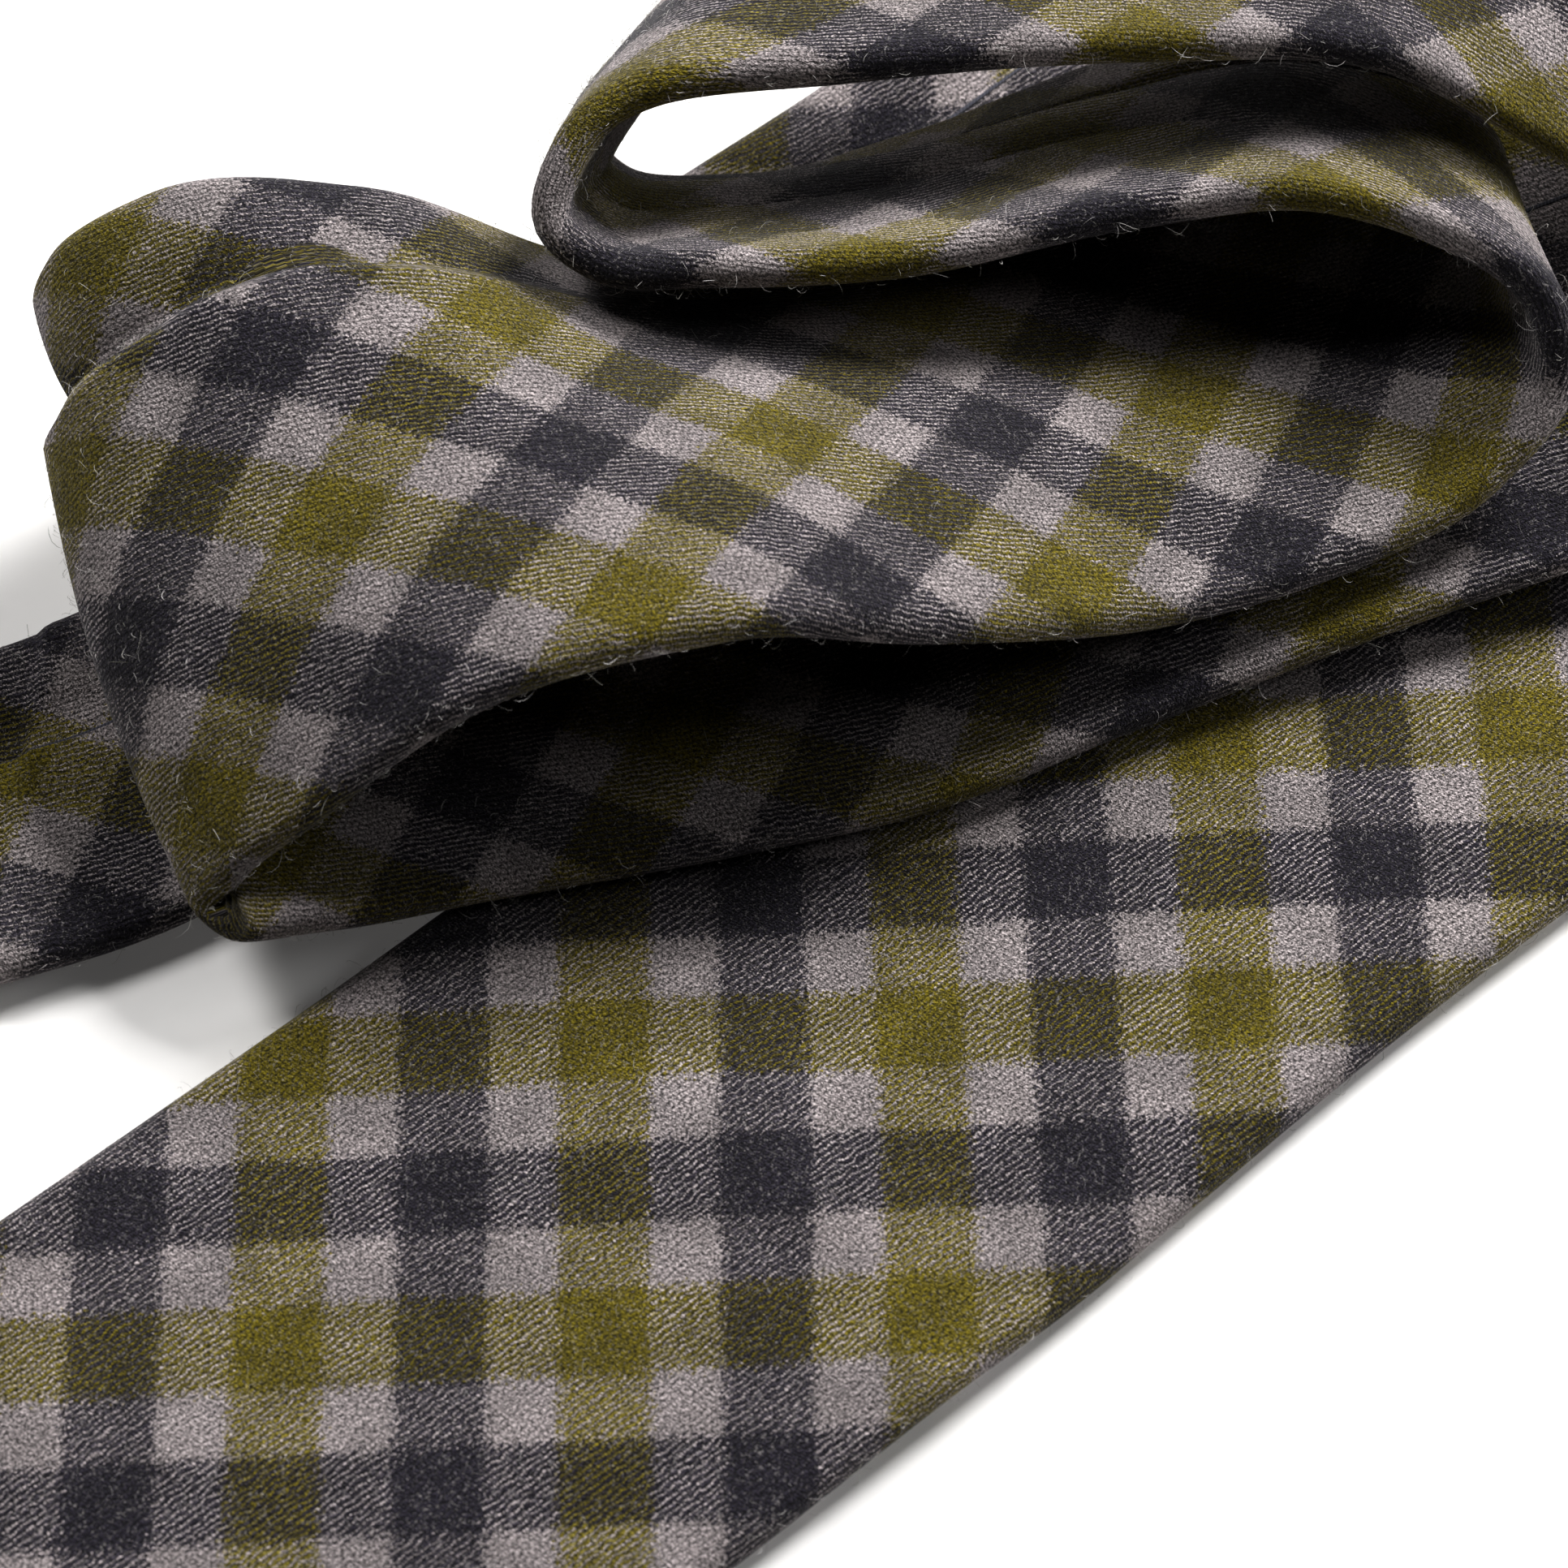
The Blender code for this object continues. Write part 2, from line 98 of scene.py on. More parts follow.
STATIONS = [
    # blade, face up on the table, over its own keeper loop
    blade_station(-190, 35.5, 34.5, UP),
    blade_station(-150, 35.8, 34.6, UP),
    blade_station(-115, 35.6, 34.6, UP),
    blade_station(-70, 35.0, 34.6, UP),
    blade_station(-50, 34.8, 34.6, UP + 0.2),
    blade_station(-30, 34.6, 34.6, UP + 1.0),
    blade_station(-12, 34.4, 34.8, UP),
    blade_station(-4, 34.0, 34.9, UP),
    blade_station(30, 32.4, 35.0, UP),
    blade_station(60, 32.4, 35.0, UP),
    # it swings away from the near side, and folds back over itself
    ((100.0, 4.5, UP), (56.0, 57.0, UP)),
    ((114.0, 18.0, 2.45), (71.0, 74.0, 2.45)),
    ((122.0, 26.5, 4.5), (82.0, 87.0, 4.5)),
    ((126.0, 31.5, 9.0), (88.0, 93.0, 10.0)),
    ((121.5, 31.5, 13.2), (84.0, 93.0, 16.0)),
    ((108.0, 28.5, 12.5), (73.0, 90.5, 14.5)),
    # back side up, running left over the blade
    ((77.3, 18.8, 9.5), (56.0, 86.0, 8.0)),
    ((58.5, 12.0, 8.5), (36.0, 78.0, 7.0)),
    ((34.4, 2.1, 7.4), (12.0, 68.0, 7.0)),
    ((14.4, -6.9, 7.4), (-8.0, 59.5, 7.0)),
    ((-5.2, -12.0, 7.4), (-27.0, 54.5, 7.5)),
    ((-28.5, -17.0, 7.6), (-50.0, 49.0, 10.5)),
    ((-44.0, -20.9, 7.2), (-66.0, 44.0, 14.0)),
    # left fold, up and over, low at the near edge and high at the far edge
    ((-53.0, -22.3, 7.2), (-73.5, 41.5, 18.5)),
    ((-56.6, -21.0, 10.5), (-76.0, 41.0, 24.0)),
    ((-53.0, -18.6, 14.5), (-72.5, 43.0, 29.5)),
    # face up, an arch that runs right and comes down
    ((-44.0, -14.6, 19.5), (-61.0, 47.5, 31.5)),
    ((-28.0, -8.0, 29.0), (-43.0, 50.5, 24.5)),
    ((-5.0, -2.0, 32.0), (-22.0, 51.5, 12.6)),
    ((14.2, 1.5, 25.5), (-1.0, 54.0, 11.6)),
    ((38.1, 9.3, 15.6), (22.0, 60.5, 11.5)),
    ((58.3, 17.3, 14.5), (42.0, 67.0, 11.8)),
    # right curl, up and over
    ((70.0, 24.0, 17.0), (57.0, 72.0, 12.5)),
    ((76.0, 30.5, 22.5), (66.0, 73.0, 16.0)),
    ((74.5, 35.0, 29.5), (67.0, 74.5, 21.5)),
    ((66.0, 40.5, 33.5), (60.0, 77.5, 22.5)),
    ((54.4, 45.5, 33.5), (50.0, 79.5, 19.5)),
    # back side up, leaning away from the near side
    ((34.7, 45.5, 32.0), (31.0, 77.0, 12.0)),
    ((10.7, 40.0, 31.5), (12.0, 68.5, 11.4)),
    ((-8.0, 39.5, 31.0), (-4.0, 65.0, 9.5)),
    # left turn, up and over
    ((-17.0, 40.6, 30.0), (-16.0, 66.0, 9.5)),
    ((-21.8, 43.6, 31.6), (-20.0, 70.0, 11.5)),
    ((-20.6, 49.4, 35.4), (-12.5, 78.5, 17.0)),
    ((-14.0, 54.7, 37.8), (0.0, 87.0, 25.0)),
    # face up along the top of the pile
    ((6.6, 57.3, 39.0), (12.0, 91.0, 28.0)),
    ((38.4, 59.5, 39.5), (40.0, 94.0, 29.0)),
    # it drops over the right side and swings round behind the pile, standing on one edge
    ((58.4, 58.8, 38.5), (64.0, 93.5, 31.5)),
    ((74.0, 53.0, 33.0), (83.0, 87.0, 37.0)),
    ((85.0, 51.5, 25.5), (95.0, 82.0, 43.0)),
    ((99.0, 62.0, 20.5), (100.0, 86.0, 47.0)),
    ((107.0, 82.0, 15.0), (101.0, 97.0, 48.0)),
    ((103.0, 100.0, 8.0), (96.0, 113.0, 41.0)),
    ((88.0, 104.0, 3.5), (83.0, 125.0, 31.0)),
    # back side up on the table, running left under the pile
    ((67.0, 91.0, 2.6), (57.0, 122.0, 9.0)),
    ((46.0, 74.0, DOWN), (29.0, 104.5, DOWN)),
    ((26.0, 56.5, DOWN), (4.0, 83.0, DOWN)),
    ((5.0, 37.5, DOWN), (-17.5, 66.0, DOWN)),
    ((-13.0, 24.0, DOWN), (-37.5, 49.5, DOWN)),
    ((-36.0, 1.0, DOWN), (-54.0, 32.0, DOWN)),
    ((-57.6, -16.3, DOWN), (-71.8, 16.8, DOWN)),
    ((-75.0, -23.5, DOWN), (-87.0, 10.5, DOWN)),
    # tail, running out to the left
    ((-116.0, -38.0, DOWN), (-126.0, -2.5, DOWN)),
    ((-165.0, -52.0, DOWN), (-173.0, -15.0, DOWN)),
    ((-215.0, -63.0, DOWN), (-221.0, -25.0, DOWN)),
    ((-262.0, -71.0, DOWN), (-266.0, -32.0, DOWN)),
    ((-304.0, -76.5, DOWN), (-307.0, -37.0, DOWN)),
    ((-346.0, -80.0, DOWN), (-348.5, -40.0, DOWN)),
    ((-388.0, -82.0, DOWN), (-390.0, -42.0, DOWN)),
]


def smooth_step(value, low, high):
    """0 below low, 1 above high, and a smooth rise between; works on numbers and arrays."""
    share = np.clip((value - low) / (high - low), 0.0, 1.0)
    return share * share * (3.0 - 2.0 * share)


def bell(value, centre, width):
    """A smooth hump of height 1."""
    return np.exp(-(((value - centre) / width) ** 2))


def straight_table(pairs, along):
    """A value along the tie, straight between (distance, value) pairs and level beyond them."""
    return np.interp(along, [pair[0] for pair in pairs], [pair[1] for pair in pairs])


def smooth_table(pairs, along):
    """The same, with its corners rounded."""
    every_mm = np.arange(0.0, TABLE_END)
    reach = 24
    kernel = np.exp(-((np.arange(-reach, reach + 1) / ROUNDING) ** 2))
    padded = np.pad(straight_table(pairs, every_mm), reach, mode="edge")
    return np.interp(along, every_mm, np.convolve(padded, kernel / kernel.sum(), mode="valid"))


# ---------------------------------------------------------------- the route

class Route:
    """The two edges of the tie as smooth curves through the stations, measured along the middle."""

    SUB = 24             # points from one station to the next
    REACH = 1.5          # the direction is taken over this far either way

    def __init__(self, stations):
        near = np.array([pair[0] for pair in stations], float)
        far = np.array([pair[1] for pair in stations], float)
        middle = (near + far) / 2
        knots = np.concatenate([[0.0], np.cumsum(np.linalg.norm(np.diff(middle, axis=0), axis=1))])
        self.near = self.curve(knots, near)
        self.far = self.curve(knots, far)
        steps = np.linalg.norm(np.diff((self.near + self.far) / 2, axis=0), axis=1)
        self.length_at = np.concatenate([[0.0], np.cumsum(steps)])
        self.length = float(self.length_at[-1])

    def curve(self, knots, points):
        """Points along a smooth cubic through the stations that never dips below a level run."""
        slopes = np.gradient(points, knots, axis=0)
        rise = np.diff(points[:, 2])
        slopes[1:-1, 2] *= rise[:-1] * rise[1:] > 0.0
        made = []
        for i in range(len(knots) - 1):
            span = knots[i + 1] - knots[i]
            for step in range(self.SUB):
                t = step / self.SUB
                made.append(
                    (2 * t**3 - 3 * t**2 + 1) * points[i]
                    + (t**3 - 2 * t**2 + t) * span * slopes[i]
                    + (3 * t**2 - 2 * t**3) * points[i + 1]
                    + (t**3 - t**2) * span * slopes[i + 1]
                )
        made.append(points[-1])
        return np.array(made)

    def edges(self, along):
        """The near and far edges at distances from the blade's point."""
        near = np.stack([np.interp(along, self.length_at, self.near[:, k]) for k in range(3)], axis=-1)
        far = np.stack([np.interp(along, self.length_at, self.far[:, k]) for k in range(3)], axis=-1)
        return near, far

    def frames(self, along):
        """Middle, direction to the near edge, direction of the face and half width, for each distance."""
        near, far = self.edges(along)
        ahead = sum(self.edges(along + self.REACH)) - sum(self.edges(along - self.REACH))
        across = near - far
        width = np.linalg.norm(across, axis=-1)
        across = across / width[..., None]
        face = np.cross(across, ahead)
        face = face / np.linalg.norm(face, axis=-1)[..., None]
        from_end = np.minimum(along, self.length - along)
        half = np.minimum(width / 2, np.maximum(from_end, 0.0) + POINT_BLUNT)
        return (near + far) / 2, across, face, half


ROUTE = Route(STATIONS)
LENGTH = ROUTE.length
TAIL_HINGE = LENGTH - TAIL_HINGE_BACK
TAIL_TIP = LENGTH - TAIL_TIP_BACK


# ---------------------------------------------------------------- the shape of the cloth

# How far the middle of the cloth stands off the straight line between its edges, towards the face.
BOW = [(480, 0.0), (498, 2.5), (512, 3.0), (530, 3.0), (560, 4.0), (600, 3.5), (640, 1.0), (690, 0.0)]
# How far the cloth has sunk in at the left fold, and puffs out at the left turn.
SETTLE = [(478, 0.0), (494, -3.2), (510, -3.2), (526, 0.0), (752, 0.0), (764, 0.9), (776, 0.9), (792, 0.0)]
# How far the far edge of the upper fold stands up past the line between the edges.
FAR_RISE = [(484, 0.0), (496, -1.6), (506, -0.6), (520, 4.6), (537, 5.4), (575, 0.0)]
# How far the edge of the outer back flap gapes: at the back of the top loop, and past the neck-tail seam.
GAPE = [
    (650, 0.0), (690, 1.5), (725, 2.5), (760, 2.0), (790, 0.0),
    (1130, 0.0), (1150, 0.6), (1175, 1.4), (1195, 1.6), (1225, 0.6), (1260, 0.0),
]
# The pleat of the upper fold: where it lies across the tie, and how deep it is.
PLEAT_LINE = [(505, -17.6), (515, -18.2), (525, -18.8), (535, -18.8), (545, -17.2), (560, -17.0)]
PLEAT_DEPTH = [(488, 0.0), (497, 4.2), (510, 5.0), (530, 3.0), (545, 1.2), (565, 0.0)]
PLEAT_FADE = 8.0         # the pleat levels out over this length across the tie
# The lengthwise crease in the back of the top loop, beside the lap.
CREASE_DEPTH = 2.0
CREASE_SIDE = 6.0        # its distance from the middle of the tie
CREASE_WIDTH = 2.2
# The neck's turned-in end, which stands over the tail along a slanting line.
RIDGE_AT = 1152.2        # along the tie, at its middle
RIDGE_SLANT = 0.49       # this much further on for each millimetre across
RIDGE_HEIGHT = 1.0
RIDGE_FADE = 7.0         # it sinks back into the neck over this length


def relief(along, u, half):
    """Height of the cloth over its flat section, towards the face: its bow, its rise and its creases."""
    share = np.clip(u / half, -1.0, 1.0)
    bow = smooth_table(BOW, along) * (1.0 - share**2)
    rise = smooth_table(FAR_RISE, along) * smooth_step(-share, -0.1, 0.9)
    smooth = bow + smooth_table(SETTLE, along) + rise
    return smooth + back_crease(along, u) + pleat(along, u) + seam_ridge(along, u)


def back_crease(along, u):
    """The back of the top loop, where the upper layer leans away from the near side."""
    present = smooth_step(along, 690.0, 715.0) * (1.0 - smooth_step(along, 745.0, 760.0))
    return CREASE_DEPTH * bell(u, CREASE_SIDE, CREASE_WIDTH) * present


def seam_ridge(along, u):
    """The step down from the neck to the tail, on the back of the tie."""
    before = RIDGE_AT + RIDGE_SLANT * u - along
    fade = np.exp(-np.maximum(before - 1.0, 0.0) / RIDGE_FADE)
    return -RIDGE_HEIGHT * smooth_step(before, -0.3, 1.0) * fade


def pleat(along, u):
    """The lengthwise crease of the upper fold: the near part stands over the far part."""
    beyond = straight_table(PLEAT_LINE, along) - u
    fall = smooth_step(beyond, -0.6, 1.2) * np.exp(-np.maximum(beyond - 1.2, 0.0) / PLEAT_FADE)
    return -straight_table(PLEAT_DEPTH, along) * fall


def opening(along):
    """Half the space between the two back flaps; negative where they overlap."""
    from_blade = along
    from_tail = LENGTH - along
    end = np.minimum(from_blade, from_tail)
    reach = np.where(from_blade < from_tail, BLADE_OPEN, TAIL_OPEN)
    half = np.minimum(ROUTE.frames(along)[3], end + POINT_BLUNT)
    parted = np.minimum(half - HEM, (reach - end) * OPEN_SLOPE)
    parted = np.where(end < reach - 2, np.maximum(parted, 0.3 * np.minimum(half, 2.0)), 0.6)
    lapped = smooth_step(end, reach + 5.0, reach + 17.0)
    return parted * (1.0 - lapped) - LAP * lapped


def flap_lift(along):
    """How far the inner back flap has risen over the outer one: 0 at the open ends, 1 elsewhere."""
    from_blade = smooth_step(along, BLADE_OPEN - 11.0, BLADE_OPEN - 2.0)
    from_tail = smooth_step(LENGTH - along, TAIL_OPEN - 11.0, TAIL_OPEN - 2.0)
    return np.minimum(from_blade, from_tail)


FLAP_POINTS = 14
ROLL_POINTS = 11
FACE_POINTS = 61
INSIDE_POINTS = 12
GAPE_WIDTH = 11.0        # the gaping edge lifts over this much of the outer flap
INSIDE_CORNER = 0.4      # the inside is bevelled this much where it turns


def side_by_side(parts, rings):
    """Joins the parts of an outline; a part given only once holds for every ring."""
    parts = [np.atleast_2d(part) for part in parts]
    return np.concatenate([np.broadcast_to(part, (rings, part.shape[1])) for part in parts], axis=1)


def outer_outline(flat, roll, gap, gape, lift, steps):
    """The outside of the cloth, from the outer back flap round the near edge to the inner back flap."""
    tall = THICK / 2
    flap = np.linspace(0.0, 1.0, FLAP_POINTS)[None, :] ** 0.8
    turn = np.linspace(-math.pi / 2, math.pi / 2, ROLL_POINTS)[None, 1:-1]
    face = np.linspace(1.0, -1.0, FACE_POINTS)[None, :]
    near_flap = gap + (flat - gap) * flap
    far_flap = -flat + (flat - gap) * (1.0 - flap[:, ::-1])
    u = [near_flap, flat + roll * np.cos(turn), flat * face, -flat - roll * np.cos(turn), far_flap]
    v = [-gape * (1.0 - smooth_step(near_flap, gap, gap + GAPE_WIDTH)),
         tall + tall * np.sin(turn),
         THICK + CROWN * (1.0 - face**2),
         tall - tall * np.sin(turn),
         lift * smooth_step(far_flap, -steps[1], -steps[0])]
    return side_by_side(u, len(flat)), side_by_side(v, len(flat))


def inner_outline(inside, gap, gape, lift, steps):
    """The inside of the cloth, from the inner back flap round to the outer one."""
    low = CLOTH
    high = THICK - CLOTH
    short = inside - INSIDE_CORNER
    across = np.linspace(-1.0, 1.0, INSIDE_POINTS)[None, :]
    u = [-gap, -steps[0], -steps[1], -short, -inside, -inside, short * across, inside, inside, short, gap]
    v = [lift + CLOTH, lift + CLOTH, low, low, low + INSIDE_CORNER, high - INSIDE_CORNER,
         high + CROWN * (1.0 - across**2), high - INSIDE_CORNER, low + INSIDE_CORNER, low, low - gape]
    return side_by_side(u, len(inside)), side_by_side(v, len(inside))


def flap_steps(flat, gap):
    """Where the inner back flap steps up over the outer one: the step's two ends, across the tie."""
    room = np.maximum(flat - np.abs(gap), 0.1)
    step_in = np.abs(gap) + np.minimum(4.0, 0.4 * room)
    step_out = step_in + np.minimum(2.5, 0.3 * room)
    return step_in, step_out


def width_round(u, v):
    """The cloth's own width coordinate, measured round the edges from the middle of the face."""
    lengths = np.hypot(np.diff(u, axis=1), np.diff(v, axis=1))
    width = np.pad(np.cumsum(lengths, axis=1), ((0, 0), (1, 0)))
    centre = FLAP_POINTS + ROLL_POINTS - 2 + FACE_POINTS // 2
    return width[:, centre:centre + 1] - width


def tube_section(along):
    """The closed section of the cloth at each distance: u, v, width coordinate (rings by points).

    It runs over the outside of the cloth and back along the inside. The fourth value says how many of
    the points are on the outside.
    """
    half = ROUTE.frames(along)[3][:, None]
    gap = opening(along)[:, None]
    gape = smooth_table(GAPE, along)[:, None]
    lift = flap_lift(along)[:, None] * (CLOTH + GAP)
    roll = np.minimum(THICK / 2, 0.45 * half)
    flat = half - roll
    steps = flap_steps(flat, gap)
    outer_u, outer_v = outer_outline(flat, roll, gap, gape, lift, steps)
    inner_u, inner_v = inner_outline(half - CLOTH - GAP, gap, gape, lift, steps)
    u = np.concatenate([outer_u, inner_u], axis=1)
    v = np.concatenate([outer_v, inner_v], axis=1)
    width = np.concatenate([width_round(outer_u, outer_v), inner_u], axis=1)
    return u, v, width, outer_u.shape[1]


def place(along, u, v):
    """Points u across and v up from the back, in metres; along has one value per ring."""
    middle, across, face, half = ROUTE.frames(along)
    raised = v + relief(along[:, None], u, half[:, None]) - THICK / 2
    points = middle[:, None, :] + u[..., None] * across[:, None, :] + raised[..., None] * face[:, None, :]
    return points * MM


# ---------------------------------------------------------------- thread coordinates

REPEAT = 30.0            # navy, grey, olive, grey
# The check along the tie, in repeats: (distance, warp and weft count at the middle, and how fast the two
# change per millimetre towards the near edge). The bias gives a little in each stretch, so they differ.
BLADE_CHECK = [
    (0, -14.365, -10.992, 0.0201, -0.0276),
    (300, -6.500, -5.044, 0.0201, -0.0276),
    (490, -1.65, -1.18, 0.0243, -0.0300),
    (680, 2.92, 3.05, 0.0243, -0.0300),
    (750, 4.60, 4.56, 0.0243, -0.0300),
    (790, 5.23, 5.23, 0.0243, -0.0300),
    (930, 8.60, 8.42, 0.0243, -0.0300),
]
NECK_CHECK = [
    (930, 0.0, 0.0, 0.0210, -0.0270),
    (1163, 5.9, 4.9, 0.0210, -0.0270),
]
TAIL_CHECK = [
    (1163, 0.4, 0.3, 0.0210, -0.0270),
    (1500, 8.9, 7.4, 0.0210, -0.0270),
]
PLEAT_SLIP = 11.0        # the cloth beyond the pleat runs this much ahead along the tie


def thread_coordinates(along, u, width):
    """Distances across the warp and across the weft, in millimetres."""
    middle = float(np.mean(along))
    rows = BLADE_CHECK if middle < BLADE_SEAM else NECK_CHECK if middle < TAIL_SEAM else TAIL_CHECK
    slip = PLEAT_SLIP * smooth_step(straight_table(PLEAT_LINE, along) - u, -0.5, 1.0)
    slip = slip * (1.0 - smooth_step(along, 560.0, 600.0)) * smooth_step(along, 480.0, 500.0)
    where = [row[0] for row in rows]
    warp, weft, warp_across, weft_across = (
        np.interp(along + slip, where, [row[k] for row in rows]) for k in (1, 2, 3, 4))
    return (warp + warp_across * width) * REPEAT, (weft + weft_across * width) * REPEAT


# ---------------------------------------------------------------- meshes

def grid_normals(points):
    """Smooth outward normals of a closed-loop grid (rings by points)."""
    around = np.roll(points, -1, axis=1) - np.roll(points, 1, axis=1)
    forward = np.gradient(points, axis=0)
    normals = np.cross(forward, around)
    return normals / np.maximum(np.linalg.norm(normals, axis=-1), 1e-12)[..., None]


def mesh_object(name, vertices, faces, material):
    """A mesh object with one material."""
    mesh = bpy.data.meshes.new(name)
    mesh.from_pydata(vertices, [], faces)
    mesh.materials.append(material)
    mesh.update()
    thing = bpy.data.objects.new(name, mesh)
    bpy.context.scene.collection.objects.link(thing)
    return thing


def set_point_values(mesh, name, values):
    """Stores one number per vertex."""
    layer = mesh.attributes.new(name, "FLOAT", "POINT")
    layer.data.foreach_set("value", np.asarray(values, np.float32).ravel())


def tube_object(name, points, material, normals=None):
    """A closed solid from rings of points, with capped ends and smooth sides."""
    rings, count = points.shape[:2]
    index = np.arange(rings * count).reshape(rings, count)
    beside = np.roll(index, -1, axis=1)
    sides = np.stack([index[:-1], index[1:], beside[1:], beside[:-1]], axis=-1).reshape(-1, 4)
    faces = sides.tolist()
    faces.append(index[0].tolist())
    faces.append(index[-1][::-1].tolist())
    thing = mesh_object(name, points.reshape(-1, 3).tolist(), faces, material)
    mesh = thing.data
    smooth = np.ones(len(faces), bool)
    smooth[-2:] = False
    mesh.polygons.foreach_set("use_smooth", smooth)
    if normals is not None:
        flat = normals.reshape(-1, 3)
        corner = flat[sides.ravel()]
        caps = np.zeros((2 * count, 3))
        caps[:count] = mesh.polygons[-2].normal
        caps[count:] = mesh.polygons[-1].normal
        mesh.normals_split_custom_set(np.concatenate([corner, caps]).tolist())
    return thing


# ---------------------------------------------------------------- materials

class Shader:
    """Short calls for building one material's nodes."""

    def __init__(self, name):
        self.material = bpy.data.materials.new(name)
        self.material.use_nodes = True
        self.tree = self.material.node_tree
        self.surface = self.tree.nodes["Principled BSDF"]

    def feed(self, socket, value):
        """Links a node's output to a socket, or sets the socket to a plain value."""
        if isinstance(value, bpy.types.NodeSocket):
            self.tree.links.new(value, socket)
        else:
            socket.default_value = value

    def math(self, operation, a, b=0.0):
        node = self.tree.nodes.new("ShaderNodeMath")
        node.operation = operation
        self.feed(node.inputs[0], a)
        self.feed(node.inputs[1], b)
        return node.outputs[0]

    def remap(self, value, low, high, to_low=0.0, to_high=1.0):
        """A smooth rise from to_low to to_high while the value goes from low to high."""
        node = self.tree.nodes.new("ShaderNodeMapRange")
        node.interpolation_type = "SMOOTHSTEP"
        for socket, number in zip(node.inputs[:5], (value, low, high, to_low, to_high)):
            self.feed(socket, number)
        return node.outputs[0]

    def mix(self, share, a, b, blend="MIX"):
        node = self.tree.nodes.new("ShaderNodeMix")
        node.data_type = "RGBA"
        node.blend_type = blend
        self.feed(node.inputs[0], share)
        self.feed(node.inputs[6], a)
        self.feed(node.inputs[7], b)
        return node.outputs[2]

    def gamma(self, color, power):
        node = self.tree.nodes.new("ShaderNodeGamma")
        self.feed(node.inputs[0], color)
        node.inputs[1].default_value = power
        return node.outputs[0]

    def jitter(self, value, noise, amount):
        """Adds noise about its middle."""
        return self.math("ADD", value, self.math("MULTIPLY", self.math("SUBTRACT", noise, 0.5), amount))

    def attribute(self, name):
        node = self.tree.nodes.new("ShaderNodeAttribute")
        node.attribute_name = name
        return node.outputs["Fac"]

    def vector(self, x, y, z=0.0):
        node = self.tree.nodes.new("ShaderNodeCombineXYZ")
        for socket, number in zip(node.inputs, (x, y, z)):
            self.feed(socket, number)
        return node.outputs[0]

    def noise(self, where, scale, detail=2.0, rough=0.5):
        node = self.tree.nodes.new("ShaderNodeTexNoise")
        self.feed(node.inputs["Vector"], where)
        node.inputs["Scale"].default_value = scale
        node.inputs["Detail"].default_value = detail
        node.inputs["Roughness"].default_value = rough
        return node.outputs["Fac"]

    def bump(self, height, strength, distance, normal=None):
        node = self.tree.nodes.new("ShaderNodeBump")
        node.inputs["Strength"].default_value = strength
        node.inputs["Distance"].default_value = distance
        self.feed(node.inputs["Height"], height)
        if normal is not None:
            self.feed(node.inputs["Normal"], normal)
        return node.outputs[0]

    def scaled(self, color, brightness):
        """The colour times a plain number."""
        return self.mix(1.0, color, self.vector(brightness, brightness, brightness), "MULTIPLY")

    def finish(self, color, roughness, normal=None, sheen=0.0, sheen_tint=(1, 1, 1, 1)):
        """Feeds the surface, which is matt cloth, and gives the material."""
        self.feed(self.surface.inputs["Base Color"], color)
        self.feed(self.surface.inputs["Roughness"], roughness)
        self.surface.inputs["Specular IOR Level"].default_value = 0.15
        self.surface.inputs["Sheen Weight"].default_value = sheen
        self.surface.inputs["Sheen Roughness"].default_value = 0.5
        self.surface.inputs["Sheen Tint"].default_value = sheen_tint
        if normal is not None:
            self.feed(self.surface.inputs["Normal"], normal)
        return self.material


# Colours of the wool, linear.
NAVY = (0.0135, 0.0115, 0.018, 1.0)
GREY = (0.245, 0.215, 0.215, 1.0)
OLIVE = (0.100, 0.080, 0.0035, 1.0)
FUZZ = (0.45, 0.42, 0.41, 1.0)
WARP_PITCH = 0.27        # from one thread to the next
WEFT_PITCH = 0.20
COLOURED_SHARE = 0.28    # of one repeat; a grey stripe takes 0.22
STRIPE_BLUR = 5.5        # times noise that stays within a tenth of its middle: edges blur by half a mm
THREAD_WANDER = 1.0      # likewise, for the twill lines
BROKEN_LINES = 2.4       # how much the nap breaks up the twill lines
DARK_LEAD = 1.3          # dark threads are hairier and cover more than pale ones


def stripe_colour(shader, distance):
    """Navy, grey, olive, grey across one set of threads."""
    ramp = shader.tree.nodes.new("ShaderNodeValToRGB")
    ramp.color_ramp.interpolation = "CONSTANT"
    stops = ramp.color_ramp.elements
    stops[0].position = 0.0
    stops[0].color = NAVY
    stops[1].position = COLOURED_SHARE
    stops[1].color = GREY
    for position, color in ((0.5, OLIVE), (0.5 + COLOURED_SHARE, GREY)):
        stop = stops.new(position)
        stop.color = color
    repeats = shader.math("ADD", shader.math("DIVIDE", distance, REPEAT), COLOURED_SHARE / 2)
    shader.feed(ramp.inputs[0], shader.math("FRACT", repeats))
    return ramp.outputs[0]


def float_height(shader, across, along_thread, over_first):
    """Height of one set of threads: a round float over two crossings, then down for two."""
    number = shader.math("FLOOR", across)
    phase = shader.math("SUBTRACT", number, along_thread)
    if not over_first:
        phase = shader.math("SUBTRACT", along_thread, number)
        phase = shader.math("ADD", phase, 2.0)
    turn = shader.math("FRACT", shader.math("DIVIDE", phase, 4.0))
    rise = shader.math("MAXIMUM", shader.math("SINE", shader.math("MULTIPLY", turn, 2 * math.pi)), 0.0)
    inside = shader.math("FRACT", across)
    crown = shader.math("SINE", shader.math("MULTIPLY", inside, math.pi))
    return shader.math("MULTIPLY", rise, shader.math("ADD", shader.math("MULTIPLY", crown, 0.6), 0.4))


